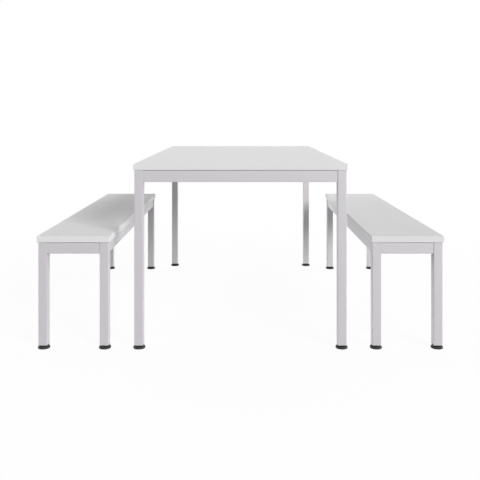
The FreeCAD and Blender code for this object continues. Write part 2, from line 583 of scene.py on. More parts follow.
def wire_edges(graph: Graph, entry: Outputs) -> Socket:
    """The rounded edges of rectangular stock, found by their slanting normals and broken up a little.

    Args:
        graph: The group's graph.
        entry: What comes into the group.

    Returns:
        The mask of the edges.
    """
    slant_band = (0.98, 0.75)
    break_band = (0.35, 0.65)
    break_floor = 0.3
    size = graph.add("VectorMath", {0: entry["Normal"]}, operation="ABSOLUTE").outputs[0]
    sides = graph.add("SeparateXYZ", {"Vector": size}).outputs
    largest = graph.math("MAXIMUM", sides["X"], graph.math("MAXIMUM", sides["Y"], sides["Z"]))
    broken = graph.noise(entry["Vector"], graph.math("DIVIDE", 1.0, entry["Break Size"]), detail=4.0)
    breaks = graph.span(broken, *break_band, break_floor)
    return graph.math("MULTIPLY", graph.span(largest, *slant_band), breaks)


SKIN_INPUTS = (("Vector", None), ("Feature Size", 0.002), ("Grain", 0.3))
SKIN = Effect("skin_texture", SKIN_INPUTS, "Height", wire_skin)
HANDLING_INPUTS = (("Vector", None), ("Patch Size", 0.15))
HANDLING = Effect("handling_marks", HANDLING_INPUTS, "Mask", wire_handling)
EDGES_INPUTS = (("Normal", None), ("Vector", None), ("Break Size", 0.02))
EDGES = Effect("edge_wear", EDGES_INPUTS, "Mask", wire_edges)


@dataclass(frozen=True)
class Finish:
    """What the surface finishes share, with relief, clouds, marks and rubbed edges to draw on.

    Attributes:
        slot: Its slot in the record, and its material's name.
        colour: Its colour.
        roughness: Its roughness where nothing has worn it.
        specular: The level of its plain reflection.
        relief_size: The width of one dimple, pit or line of its relief.
        relief_depth: The relief's depth.
        grain: How strong the finer grain on the relief is.
        tones: Its darkest and lightest tone, as shares of its colour.
        cloud_scale: How many clouds the colour has to the metre.
        cloud_detail: How broken up the clouds are.
        mark_size: The width of a mark of handling.
        mark_dulling: How much rougher the marks are.
        edge_size: The length of a rubbed stretch of an edge.
        edge_polish: How much smoother the edges are.
    """

    slot: str
    colour: Colour
    roughness: float
    specular: float
    relief_size: float
    relief_depth: float
    grain: float = 0.0
    tones: tuple[float, float] = (1.0, 1.0)
    cloud_scale: float = 10.0
    cloud_detail: float = 3.0
    mark_size: float = 0.1
    mark_dulling: float = 0.0
    edge_size: float = 0.02
    edge_polish: float = 0.0

    def material(self) -> bpy.types.Material:
        """Build the finish's material, at its first use.

        Returns:
            The material.
        """
        if self.slot in bpy.data.materials:
            return bpy.data.materials[self.slot]
        material = bpy.data.materials.new(self.slot)
        material.use_nodes = True
        material.diffuse_color = (*self.colour, 1)
        graph = SurfaceGraph(material.node_tree)
        shader = material.node_tree.nodes["Principled BSDF"]
        graph.feed(shader, {"Specular IOR Level": self.specular, **self.surface(graph)})
        return material

    def surface(self, graph: SurfaceGraph) -> Sockets:
        """Wire up what makes this finish its own.

        Args:
            graph: The material's graph.

        Returns:
            What goes into the shader's sockets, by their names.
        """
        raise NotImplementedError

    def skin(self, graph: SurfaceGraph) -> Socket:
        """The height of the dimples or pits, with their grain."""
        inputs = {"Vector": graph.place, "Feature Size": self.relief_size, "Grain": self.grain}
        return SKIN.place(graph, inputs)

    def relief(self, graph: SurfaceGraph, height: Socket) -> Socket:
        """A height between 0 and 1, as a relief of the finish's real depth."""
        return graph.add("Bump", {"Height": height, "Distance": self.relief_depth}).outputs["Normal"]

    def clouds(self, graph: SurfaceGraph) -> Socket:
        """The mask of the clouds in the colour."""
        return graph.noise(graph.place, self.cloud_scale, self.cloud_detail)

    def marks(self, graph: SurfaceGraph) -> Socket:
        """The mask of the marks of handling."""
        return HANDLING.place(graph, {"Vector": graph.place, "Patch Size": self.mark_size})

    def edges(self, graph: SurfaceGraph) -> Socket:
        """The mask of the rubbed edges."""
        inputs = {"Normal": graph.normal, "Vector": graph.place, "Break Size": self.edge_size}
        return EDGES.place(graph, inputs)

    def tinted(self, graph: SurfaceGraph, mask: Socket) -> Socket:
        """The finish's colour, from its darkest to its lightest tone by a mask."""
        dark, light = (tuple(min(1.0, part * tone) for part in self.colour) for tone in self.tones)
        return graph.blend(mask, dark, light)


@dataclass(frozen=True)
class Melamine(Finish):
    """A decor paper pressed in melamine resin, with the press plate's pearly texture."""

    def surface(self, graph: SurfaceGraph) -> Sockets:
        """A fine pearl relief, faintly cloudy paper and soft wiping marks in the gloss.

        Args:
            graph: The material's graph.

        Returns:
            What goes into the shader's sockets.
        """
        dull = self.roughness + self.mark_dulling
        return {
            "Base Color": self.tinted(graph, self.clouds(graph)),
            "Roughness": graph.span(self.marks(graph), 0.0, 1.0, self.roughness, dull),
            "Normal": self.relief(graph, self.skin(graph)),
        }


@dataclass(frozen=True)
class ExtrudedPlastic(Finish):
    """Plastic edging, with the fine lengthwise lines of its die and softly polished edges."""

    def surface(self, graph: SurfaceGraph) -> Sockets:
        """Lines that run with the strip, and a little more gloss on its rounded edges.

        Args:
            graph: The material's graph.

        Returns:
            What goes into the shader's sockets.
        """
        level = graph.add("CombineXYZ", {"Z": graph.along_z(graph.place)}).outputs[0]
        lines = graph.noise(level, 1 / self.relief_size, detail=2.0)
        polished = self.roughness - self.edge_polish
        return {
            "Base Color": self.tinted(graph, self.clouds(graph)),
            "Roughness": graph.span(self.edges(graph), 0.0, 1.0, self.roughness, polished),
            "Normal": self.relief(graph, lines),
        }


@dataclass(frozen=True)
class PowderCoat(Finish):
    """Baked powder on steel: a soft orange peel, thinner and smoother over the edges.

    Attributes:
        edge_tone: How much of the way to the lightest tone the edges go.
    """

    edge_tone: float = 0.8

    def surface(self, graph: SurfaceGraph) -> Sockets:
        """Orange peel, faint patches in colour and gloss, and slightly rubbed edges.

        Args:
            graph: The material's graph.

        Returns:
            What goes into the shader's sockets.
        """
        edges = self.edges(graph)
        dulled = graph.math("MULTIPLY", self.marks(graph), self.mark_dulling)
        worn = graph.math("ADD", dulled, graph.math("MULTIPLY", edges, -self.edge_polish))
        tone = graph.math("ADD", self.clouds(graph), graph.math("MULTIPLY", edges, self.edge_tone))
        return {
            "Base Color": self.tinted(graph, tone),
            "Roughness": graph.math("ADD", worn, self.roughness),
            "Normal": self.relief(graph, self.skin(graph)),
        }


@dataclass(frozen=True)
class MouldedNylon(Finish):
    """Black nylon from an eroded mould, scuffed grey where edges touch the floor.

    Attributes:
        scuff: The colour of a scuff.
        scuff_full: The height up to which the scuffs are at their strongest.
        scuff_end: The height where they end.
    """

    scuff: Colour = (0.035, 0.035, 0.036)
    scuff_full: float = 0.5 * MM
    scuff_end: float = 4.5 * MM

    def surface(self, graph: SurfaceGraph) -> Sockets:
        """A fine mould texture, with dull scuffs on the lower rim.

        Args:
            graph: The material's graph.

        Returns:
            What goes into the shader's sockets.
        """
        low = graph.span(graph.along_z(graph.place), self.scuff_full, self.scuff_end, 1.0, 0.0)
        scuffs = graph.math("MULTIPLY", low, self.marks(graph))
        dulled = graph.math("MULTIPLY", scuffs, self.mark_dulling)
        return {
            "Base Color": graph.blend(scuffs, self.colour, self.scuff),
            "Roughness": graph.math("ADD", dulled, self.roughness),
            "Normal": self.relief(graph, self.skin(graph)),
        }


@dataclass(frozen=True)
class ZincPlate(Finish):
    """Bright zinc plating on turned and stamped steel.

    Attributes:
        spangle_size: The width of a spangle.
        polish: How much smoother the darkest spangles are.
        dulling: How much rougher the lightest ones are.
    """

    spangle_size: float = 1.6 * MM
    polish: float = 0.05
    dulling: float = 0.08

    def surface(self, graph: SurfaceGraph) -> Sockets:
        """Small spangles in tone and gloss over a fine grain.

        Args:
            graph: The material's graph.

        Returns:
            What goes into the shader's sockets.
        """
        cells = graph.add("TexVoronoi", {"Vector": graph.place, "Scale": 1 / self.spangle_size})
        tone = graph.add("SeparateColor", {"Color": cells.outputs["Color"]}).outputs[0]
        shiny = self.roughness - self.polish
        return {
            "Base Color": self.tinted(graph, tone),
            "Metallic": 1.0,
            "Roughness": graph.span(tone, 0.0, 1.0, shiny, self.roughness + self.dulling),
            "Normal": self.relief(graph, self.skin(graph)),
        }


MELAMINE = Melamine(
    "white_melamine", (0.75, 0.75, 0.75), roughness=0.5, specular=0.25,
    relief_size=1.1 * MM, relief_depth=0.018 * MM, grain=0.25, tones=(0.992, 1.008),
    cloud_scale=6.0, mark_size=0.16, mark_dulling=0.07,
)
EDGING = ExtrudedPlastic(
    "white_edging", (0.78, 0.78, 0.78), roughness=0.4, specular=0.35,
    relief_size=0.9 * MM, relief_depth=0.008 * MM, tones=(0.994, 1.006),
    cloud_scale=8.0, cloud_detail=2.0, edge_size=0.03, edge_polish=0.06,
)
PAINT = PowderCoat(
    "frame_paint", (0.59, 0.568, 0.598), roughness=0.42, specular=0.4,
    relief_size=2.2 * MM, relief_depth=0.022 * MM, grain=0.2, tones=(0.99, 1.012),
    cloud_scale=11.0, mark_size=0.22, mark_dulling=0.06, edge_size=0.015, edge_polish=0.05,
)
NYLON = MouldedNylon(
    "black_nylon", (0.022, 0.022, 0.023), roughness=0.4, specular=0.45,
    relief_size=0.5 * MM, relief_depth=0.014 * MM, grain=0.5, mark_size=20 * MM, mark_dulling=0.25,
)
ZINC = ZincPlate(
    "zinc_steel", (0.62, 0.63, 0.65), roughness=0.3, specular=0.5,
    relief_size=0.6 * MM, relief_depth=0.004 * MM, grain=0.4, tones=(0.9, 1.08),
)


def hand_over(piece: Piece, finish: Finish, body: str, nodes: Sequence[str]) -> None:
    """Finish a piece and give it its place in the frame.

    Args:
        piece: The modelled object.
        finish: Its surface.
        body: The CAD body that it moves with.
        nodes: The CAD nodes that it stands for.
    """
    Hand.smooth(piece)
    Hand.release()
    piece.data.materials.clear()
    piece.data.materials.append(finish.material())
    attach(piece, body)
    if nodes:
        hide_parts(*nodes)
    LOG.info("%s: %d faces on body %s", piece.name, len(piece.data.polygons), body)


@dataclass
class SteelTube:
    """A length of rectangular steel tube with real walls.

    Attributes:
        name: The piece's name.
        box: The room that it takes.
        axis: The direction that it runs in.
        wall: The thickness of its walls.
        outer_radius: The rounding of its outer corners.
        inner_radius: The rounding of its inner corners.
        end_break: The width of the deburred edge at each end.
        rim_angle: The least angle of an edge at an end, in degrees.
    """

    name: str
    box: Box
    axis: Axis
    wall: float
    outer_radius: float = 2 * MM
    inner_radius: float = 0.8 * MM
    end_break: float = 0.25 * MM
    rim_angle: float = 80.0

    def build(self) -> Piece:
        """Model the tube: open a block's ends, thicken its sides and round its edges.

        Returns:
            The tube.
        """
        tube = Hand.block(self.name, self.box)
        Hand.choose(tube, Kind.FACES, lambda face: self.axis.holds(face.normal))
        bpy.ops.mesh.delete(type="FACE")
        Hand.modify(tube, "SOLIDIFY", thickness=self.wall, offset=-1, use_even_offset=True)
        Hand.choose(tube, Kind.EDGES, self.lies_outside)
        Hand.bevel(self.outer_radius, Hand.ROUND_STEPS)
        Hand.choose(tube, Kind.EDGES, self.lies_inside)
        Hand.bevel(self.inner_radius, Hand.SMALL_STEPS)
        Hand.choose(tube, Kind.EDGES, self.is_end_rim)
        Hand.bevel(self.end_break)
        Hand.release()
        return tube

    def depths(self, edge: Edge) -> list[float]:
        """How deep a lengthwise edge lies in the tube, both ways across, and nothing for other edges."""
        start, end = (vertex.co for vertex in edge.verts)
        return self.box.depths(start, self.axis.across) if self.axis.holds(end - start) else []

    def lies_outside(self, edge: Edge) -> bool:
        """Whether an edge is an outer corner of the tube."""
        depths = self.depths(edge)
        return bool(depths) and max(depths) < self.wall / 2

    def lies_inside(self, edge: Edge) -> bool:
        """Whether an edge is an inner corner of the tube."""
        depths = self.depths(edge)
        return bool(depths) and all(abs(depth - self.wall) < TINY for depth in depths)

    def is_end_rim(self, edge: Edge) -> bool:
        """Whether an edge lies between an end face and a side."""
        if self.depths(edge) or not edge.is_manifold:
            return False
        return edge.calc_face_angle() > math.radians(self.rim_angle)


@dataclass
class Edging:
    """Four plastic strips glued round a board, the long two between the short two.

    Attributes:
        unit: The name of the table or bench.
        rounding: The radius of the outer edges.
        glue_line: The width of the fine groove along each glued side.
    """

    unit: str
    rounding: float = 1.5 * MM
    glue_line: float = 0.15 * MM

    def build(self) -> Piece:
        """Model the near and the left strip, and turn a copy of the pair to the other two sides.

        Returns:
            The four strips as one piece.
        """
        core = Box.of(self.unit + "_board")
        around = Box.of(self.unit + "_edging")
        bottom = around.low.z
        top = around.high.z
        near_box = Box(around.low, Vector((around.high.x, core.low.y, top)))
        left_box = Box(Vector((around.low.x, core.low.y, bottom)), Vector((core.low.x, core.high.y, top)))
        near = self.strip("near", near_box, around, lambda way: way.y > PARALLEL)
        left = self.strip("left", left_box, around, lambda way: way.x > PARALLEL or Axis.Y.holds(way))
        pair = Hand.join(near.name, [near, left])
        other = Hand.copy(pair, self.unit + "_strips", STILL)
        bpy.ops.transform.rotate(value=FULL_TURN / 2, orient_axis="Z", center_override=around.centre)
        Hand.settle(other.name)
        return Hand.join(self.unit + "_edge_strips", [pair, other])

    def strip(self, name: str, box: Box, around: Box, is_glued: Callable[[Vector], bool]) -> Piece:
        """Model one strip: round its outer edges and break the edges of its glued faces.

        Args:
            name: What the strip is called.
            box: The strip's room.
            around: The room of all four strips.
            is_glued: Tells a glued face by its normal.

        Returns:
            The strip.
        """
        strip = Hand.block(self.unit + "_strip_" + name, box)
        Hand.choose(strip, Kind.EDGES, lambda edge: self.is_outer(edge, around))
        Hand.bevel(self.rounding, Hand.ROUND_STEPS)
        Hand.choose(strip, Kind.FACES, lambda face: is_glued(face.normal))
        bpy.ops.mesh.region_to_loop()
        Hand.bevel(self.glue_line)
        Hand.release()
        return strip

    @staticmethod
    def is_outer(edge: Edge, around: Box) -> bool:
        """Whether an edge lies on one of the outer edges of the whole edging."""
        middle = (edge.verts[0].co + edge.verts[1].co) / 2
        return sum(depth < TINY for depth in around.depths(middle)) >= 2


@dataclass
class WeldBead:
    """A rippled weld bead in the corner between a rail and a leg.

    Attributes:
        name: The piece's name.
        axis: The direction that the bead runs in.
        radius: The radius of its smallest section.
        ripple: The length of one ripple.
        swell: How much wider a ripple is at its middle.
        crown_inset: How much narrower each end is than the bead, as a share of its radius.
        crown_height: How far each end stands out, as a share of its radius.
        sides: The facets round the bead.
    """

    name: str
    axis: Axis
    radius: float = 1.7 * MM
    ripple: float = 1.6 * MM
    swell: float = 1.12
    crown_inset: float = 0.3
    crown_height: float = 0.45
    sides: int = 12

    def build(self, start: Vector, length: float) -> Piece:
        """Model one ripple, repeat it along the joint and round off both ends.

        Args:
            start: The middle of the bead's first end.
            length: How far it runs.

        Returns:
            The bead.
        """
        run = self.axis.vector
        turn = run.to_track_quat("Z", "Y").to_euler() if self.axis is not Axis.Z else (0, 0, 0)
        middle = start + run * self.ripple / 2
        Hand.release()
        bpy.ops.mesh.primitive_cylinder_add(
            vertices=self.sides, radius=self.radius, depth=self.ripple, end_fill_type="NOTHING",
            location=middle, rotation=turn,
        )
        bead = Hand.settle(self.name)
        Hand.edit(bead, Kind.EDGES, everything=True)
        bpy.ops.mesh.bisect(plane_co=middle, plane_no=run)
        wide = [1.0 if part else self.swell for part in run]
        bpy.ops.transform.resize(value=wide, center_override=middle)
        Hand.modify(
            bead, "ARRAY", count=round(length / self.ripple), use_relative_offset=False,
            use_constant_offset=True, constant_offset_displace=run * self.ripple,
            use_merge_vertices=True, merge_threshold=TINY,
        )
        Hand.edit(bead, Kind.EDGES, everything=True)
        bpy.ops.mesh.fill_holes(sides=0)
        Hand.choose(bead, Kind.FACES, lambda face: self.axis.holds(face.normal))
        bpy.ops.mesh.inset(thickness=self.radius * self.crown_inset, depth=self.radius * self.crown_height)
        Hand.release()
        return bead


@dataclass
class SteelFrame:
    """The welded frame of one unit: four legs, four rails and the beads that join them.

    Attributes:
        unit: The name of the table or bench.
        leg_wall: The wall of the legs' tube.
        rail_wall: The wall of the rails' tube.
        shank_hole: The diameter of the holes for the screws' shanks, in the rails' upper walls.
        shank_sides: The facets round a shank's hole.
        driver_hole: The diameter of the holes for the screwdriver, in their lower walls.
        driver_sides: The facets round a driver's hole.
        bead_inset: How far a bead's middle lies out of its corner, each way.
        bead_margin: How far a bead stops short of the rail's edges.
        joint_gap: The crevice between a rail's end and the leg, which the beads bridge.
    """

    CORNERS = ("front_left", "front_right", "back_left", "back_right")
    SCREW_PITCH = 350 * MM

    unit: str
    leg_wall: float = 2 * MM
    rail_wall: float = 1.5 * MM
    shank_hole: float = 5.3 * MM
    shank_sides: int = 24
    driver_hole: float = 13 * MM
    driver_sides: int = 40
    bead_inset: float = 0.5 * MM
    bead_margin: float = 3.5 * MM
    joint_gap: float = 0.35 * MM

    def leg_box(self, corner: str) -> Box:
        """The room of one leg."""
        return Box.of(f"{self.unit}_leg_{corner}")

    def rails(self) -> Iterator[tuple[str, Box, Axis]]:
        """Go round the rails.

        Returns:
            Each rail's CAD node, room and direction.
        """
        for part, sides, axis in (("side", ("left", "right"), Axis.Y), ("end", ("front", "back"), Axis.X)):
            for side in sides:
                node = f"{self.unit}_{part}_rail_{side}"
                yield node, Box.of(node), axis

    @staticmethod
    def screw_places(box: Box, axis: Axis) -> list[Vector]:
        """Space the screws evenly along the middle of a rail's top, about one screw pitch apart.

        Args:
            box: The rail's room.
            axis: The direction that it runs in.

        Returns:
            The middle of each hole.
        """
        span = box.size[axis.value]
        count = max(1, int(span / SteelFrame.SCREW_PITCH))
        first = -1 + 1 / count
        top = box.point(0, 0, 1)
        return [top + axis.vector * (first + 2 * index / count) * span / 2 for index in range(count)]

    def build_legs(self) -> dict[str, Piece]:
        """Model the first leg and copy it to all the corners.

        Returns:
            Each leg, under its CAD node's name.
        """
        boxes = {corner: self.leg_box(corner) for corner in self.CORNERS}
        first = boxes[self.CORNERS[0]]
        model = SteelTube(f"{self.unit}_leg_tube", first, Axis.Z, self.leg_wall).build()
        legs = {}
        for corner, box in boxes.items():
            name = f"{self.unit}_leg_tube_{corner}"
            legs[f"{self.unit}_leg_{corner}"] = Hand.copy(model, name, box.low - first.low)
        Hand.discard(model)
        return legs

    def build_rails(self) -> dict[str, Piece]:
        """Model one side rail and one end rail with their holes, and copy each to both sides.

        Returns:
            Each rail, under its CAD node's name.
        """
        rails = {}
        models = {}
        for node, box, axis in self.rails():
            if axis not in models:
                models[axis] = (self.drilled_rail(box, axis), box)
            model, first = models[axis]
            rails[node] = Hand.copy(model, node + "_tube", box.low - first.low)
        Hand.discard(*(model for model, _ in models.values()))
        return rails

    def drilled_rail(self, box: Box, axis: Axis) -> Piece:
        """Model a rail and drill the screws' holes through its upper and lower walls.

        Args:
            box: The rail's room.
            axis: The direction that it runs in.

        Returns:
            The rail, with a crevice at each end.
        """
        shy = axis.vector * self.joint_gap
        stock = Box(box.low + shy, box.high - shy)
        rail = SteelTube(f"{self.unit}_rail_tube", stock, axis, self.rail_wall).build()
        wall = UPWARD * self.rail_wall
        drills = []
        for place in self.screw_places(box, axis):
            floor = Vector((place.x, place.y, box.low.z))
            ends = (place - 2 * wall, place + wall)
            drills.append(Hand.rod("drill", self.shank_hole / 2, *ends, self.shank_sides))
            ends = (floor - wall, floor + 2 * wall)
            drills.append(Hand.rod("drill", self.driver_hole / 2, *ends, self.driver_sides))
        Hand.combine(rail, Hand.join("drills", drills), Joinery.CUT)
        return rail

    def build_beads(self) -> Piece:
        """Model the beads on the inner side and the underside of every rail's two ends.

        Returns:
            All the beads as one piece.
        """
        models: dict[Axis, tuple[Piece, Vector]] = {}
        beads = []
        middle = Box.of(self.unit + "_board").centre
        for _, box, axis in self.rails():
            cross = Axis.X if axis is Axis.Y else Axis.Y
            width = box.size[cross.value]
            height = box.size.z
            inward = 1 if middle[cross.value] > box.centre[cross.value] else -1
            for end in (-1, 1):
                joint = box.point(*(axis.vector * end)) - axis.vector * end * self.bead_inset
                face = joint + cross.vector * inward * (width / 2 + self.bead_inset)
                upright = face - UPWARD * (height / 2 - self.bead_margin)
                below = joint - UPWARD * (height / 2 + self.bead_inset)
                level = below - cross.vector * (width / 2 - self.bead_margin)
                beads.append(self.bead(models, Axis.Z, upright, height - 2 * self.bead_margin))
                beads.append(self.bead(models, cross, level, width - 2 * self.bead_margin))
        Hand.discard(*(model for model, _ in models.values()))
        return Hand.join(self.unit + "_weld_beads", beads)

    @staticmethod
    def bead(models: dict[Axis, tuple[Piece, Vector]], axis: Axis, start: Vector, length: float) -> Piece:
        """Copy the bead that runs along an axis to a new start, or model it at its first use.

        Args:
            models: The beads modelled so far, each with its start.
            axis: The direction that the bead runs in.
            start: Where it begins.
            length: How far it runs.

        Returns:
            The bead in its place.
        """
        if axis not in models:
            models[axis] = (WeldBead("bead", axis).build(start, length), start)
        model, first = models[axis]
        return Hand.copy(model, "bead", start - first)


@dataclass
class LegInsert:
    """A nylon plug with gripping fins, and the flange that closes a leg's lower end.

    Attributes:
        leg: The leg's room.
        bottom: The height of the flange's underside.
        top: The height of the plug's top.
        inset: How far the plug stands inside the leg's outer faces.
        plug_corner: The rounding of the plug's upright edges.
        corner: The rounding of the flange's upright edges.
        edge: The rounding of the flange's lower edge.
        fins: How many fins grip the tube.
        fin_height: The height of one fin.
        fin_depth: How far it stands out.
        lead: The height of the tapered end.
        bore: The diameter of the hole for the stud.
        bore_sides: The facets round that hole.
    """

    leg: Box
    bottom: float
    top: float
    inset: float = 2.1 * MM
    plug_corner: float = 0.9 * MM
    corner: float = 2 * MM
    edge: float = 0.6 * MM
    fins: int = 4
    fin_height: float = 1.5 * MM
    fin_depth: float = 1 * MM
    lead: float = 2 * MM
    bore: float = 10.2 * MM
    bore_sides: int = 48

    def build(self, name: str) -> Piece:
        """Model the flange, draw the finned plug up out of it and bore it through.

        Args:
            name: The new object's name.

        Returns:
            The insert.
        """
        low = Vector((self.leg.low.x, self.leg.low.y, self.bottom))
        flange = Box(low, Vector((self.leg.high.x, self.leg.high.y, self.leg.low.z)))
        about = flange.centre
        plug = Hand.block(name, flange)
        Hand.choose(plug, Kind.FACES, looks_up)
        bpy.ops.mesh.inset(thickness=self.inset)
        Hand.bevel(self.plug_corner, Hand.SMALL_STEPS, Kind.VERTICES)
        narrow = 1 - 2 * self.fin_depth / (flange.size.x - 2 * self.inset)
        neck = (self.top - self.leg.low.z - self.lead) / self.fins - self.fin_height
        for _ in range(self.fins):
            Hand.extrude(UPWARD * self.fin_height)
            Hand.extrude(STILL, narrow, about)
            Hand.extrude(UPWARD * neck)
            Hand.extrude(STILL, 1 / narrow, about)
        Hand.extrude(UPWARD * self.lead, narrow, about)
        Hand.choose(plug, Kind.EDGES, lambda edge: self.is_flange_corner(edge, flange))
        Hand.bevel(self.corner, Hand.ROUND_STEPS)
        Hand.choose(plug, Kind.FACES, lambda face: face.calc_center_median().z < low.z + TINY)
        bpy.ops.mesh.region_to_loop()
        Hand.bevel(self.edge, Hand.SMALL_STEPS)
        reach = UPWARD * MM
        bottom = Vector((about.x, about.y, self.bottom)) - reach
        top = Vector((about.x, about.y, self.top)) + reach
        Hand.combine(plug, Hand.rod("bore", self.bore / 2, bottom, top, self.bore_sides), Joinery.CUT)
        return plug

    @staticmethod
    def is_flange_corner(edge: Edge, flange: Box) -> bool:
        """Whether an edge is one of the flange's four upright ones."""
        start, end = (vertex.co for vertex in edge.verts)
        return Axis.Z.holds(end - start) and max(flange.depths(start, Axis.Z.across)) < TINY


@dataclass
class Thread:
    """A screw thread about the world's Z axis, with flats on its crests and at its root.

    Attributes:
        crest: The radius over the thread.
        root: The radius at its foot.
        pitch: The rise of one turn.
        steps: The facets of one turn.
        flank_share: The rise of each flank, as a share of the pitch.
        crest_share: The width of the crest's flat, as a share of the pitch.
    """

    crest: float
    root: float
    pitch: float
    steps: int
    flank_share: float = 5 / 16
    crest_share: float = 1 / 8

    def build(self, name: str, bottom: float, top: float) -> Piece:
        """Wind one tooth up the axis and cut the thread square at both ends.

        Args:
            name: The new object's name.
            bottom: The height of its lower end.
            top: The height of its upper end.

        Returns:
            The closed thread.
        """
        flank = self.flank_share * self.pitch
        flat = self.crest_share * self.pitch
        start = bottom - self.pitch
        heights = (0, flank, flank + flat, 2 * flank + flat, self.pitch)
        radii = (self.root, self.crest, self.crest, self.root, self.root)
        thread = Hand.draw(name, [Corner(radius, start + rise) for radius, rise in zip(radii, heights)])
        turns = math.ceil((top - bottom) / self.pitch) + 2
        Hand.modify(
            thread, "SCREW", axis="Z", angle=FULL_TURN, screw_offset=self.pitch, steps=self.steps,
            render_steps=self.steps, iterations=turns, use_merge_vertices=True, merge_threshold=TINY,
        )
        Hand.heal(thread)
        for height, side in ((bottom, -1), (top, 1)):
            Hand.edit(thread, Kind.VERTICES, everything=True)
            bpy.ops.mesh.bisect(
                plane_co=UPWARD * height, plane_no=UPWARD * side, use_fill=True, clear_outer=True,
                threshold=TINY / 10,
            )
        Hand.heal(thread)
        return thread


@dataclass
class LevellingFoot:
    """A threaded steel stud with a round head, captured in a low moulded base.

    Attributes:
        stud: The stud's room.
        base: The base's room.
        crest: The radius over the stud's thread.
        root: The radius at the thread's foot.
        pitch: The thread's rise in one turn.
        thread_steps: The facets of one turn.
        tip: The chamfer of the stud's upper end.
        head_height: The height of the stud's head.
        head_edge: The rounding of the head's edges.
        head_sides: The facets round the head.
        play: The room all round the head in the base.
        bore: The diameter of the base's hole.
        mouth: The chamfer of the hole's upper end.
        hub: The radius of the raised middle.
        hub_edge: The rounding of its edge.
        rim_top: The height of the outer rim.
        rim_edge: The rounding over the rim.
        sole_edge: The rounding under the rim.
        rings: How many grip rings the sole has.
        first_ring: The inner radius of the first one.
        ring_pitch: The step from one to the next.
        ring_width: The width of the groove that makes a ring.
        ring_slope: The width of each of its slopes.
        ring_depth: Its depth.
        sides: The facets round the base.
    """

    stud: Box
    base: Box
    crest: float = 5 * MM
    root: float = 4.08 * MM
    pitch: float = 1.5 * MM
    thread_steps: int = 24
    tip: float = 1 * MM
    head_height: float = 3 * MM
    head_edge: float = 0.5 * MM
    head_sides: int = 48
    play: float = 0.1 * MM
    bore: float = 10.2 * MM
    mouth: float = 0.5 * MM
    hub: float = 13 * MM
    hub_edge: float = 0.6 * MM
    rim_top: float = 6.5 * MM
    rim_edge: float = 1.5 * MM
    sole_edge: float = 0.4 * MM
    rings: int = 4
    first_ring: float = 8 * MM
    ring_pitch: float = 3.6 * MM
    ring_width: float = 1.4 * MM
    ring_slope: float = 0.3 * MM
    ring_depth: float = 0.6 * MM
    sides: int = 72

    def build_stud(self, name: str) -> Piece:
        """Wind the M10 thread, chamfer its tip and put the head on it.

        Args:
            name: The new object's name.

        Returns:
            The stud, with its head down.
        """
        low = self.stud.low.z
        top = self.stud.high.z
        seat = low + self.head_height
        radius = self.stud.size.x / 2
        thread = Thread(self.crest, self.root, self.pitch, self.thread_steps)
        stud = thread.build(name, low + self.head_height / 2, top)
        outside = self.crest + self.tip
        limit = Hand.turn("tip_cone", [
            Corner(0, low), Corner(outside, low), Corner(outside, top - 2 * self.tip),
            Corner(self.crest - self.tip, top), Corner(0, top),
        ], self.thread_steps)
        Hand.combine(stud, limit, Joinery.KEEP)
        head = Hand.turn("head", [
            Corner(0, low), Corner(radius, low, self.head_edge),
            Corner(radius, seat, self.head_edge), Corner(0, seat),
        ], self.head_sides)
        Hand.combine(stud, head, Joinery.ADD)
        Hand.heal(stud)
        return stud

    def build_base(self, name: str) -> Piece:
        """Turn the base: a chamfered sole with grip rings, a rounded rim, a shallow cone and a hub.

        Args:
            name: The new object's name.

        Returns:
            The base, with the head's chamber in it.
        """
        rim = self.base.size.x / 2
        top = self.base.high.z
        bore = self.bore / 2
        chamber = self.stud.size.x / 2 + self.play
        floor = self.stud.low.z - self.play
        ceiling = self.stud.low.z + self.head_height + self.play
        outline = [Corner(0, 0)]
        for ring in range(self.rings):
            inner = self.first_ring + self.ring_pitch * ring
            outer = inner + self.ring_width
            outline += [
                Corner(inner, 0), Corner(inner + self.ring_slope, self.ring_depth),
                Corner(outer - self.ring_slope, self.ring_depth), Corner(outer, 0),
            ]
        outline += [
            Corner(rim, 0, self.sole_edge), Corner(rim, self.rim_top, self.rim_edge),
            Corner(self.hub, top, self.hub_edge), Corner(bore + self.mouth, top),
            Corner(bore, top - self.mouth), Corner(bore, ceiling),
            Corner(chamber, ceiling), Corner(chamber, floor), Corner(0, floor),
        ]
        return Hand.turn(name, outline, self.sides)


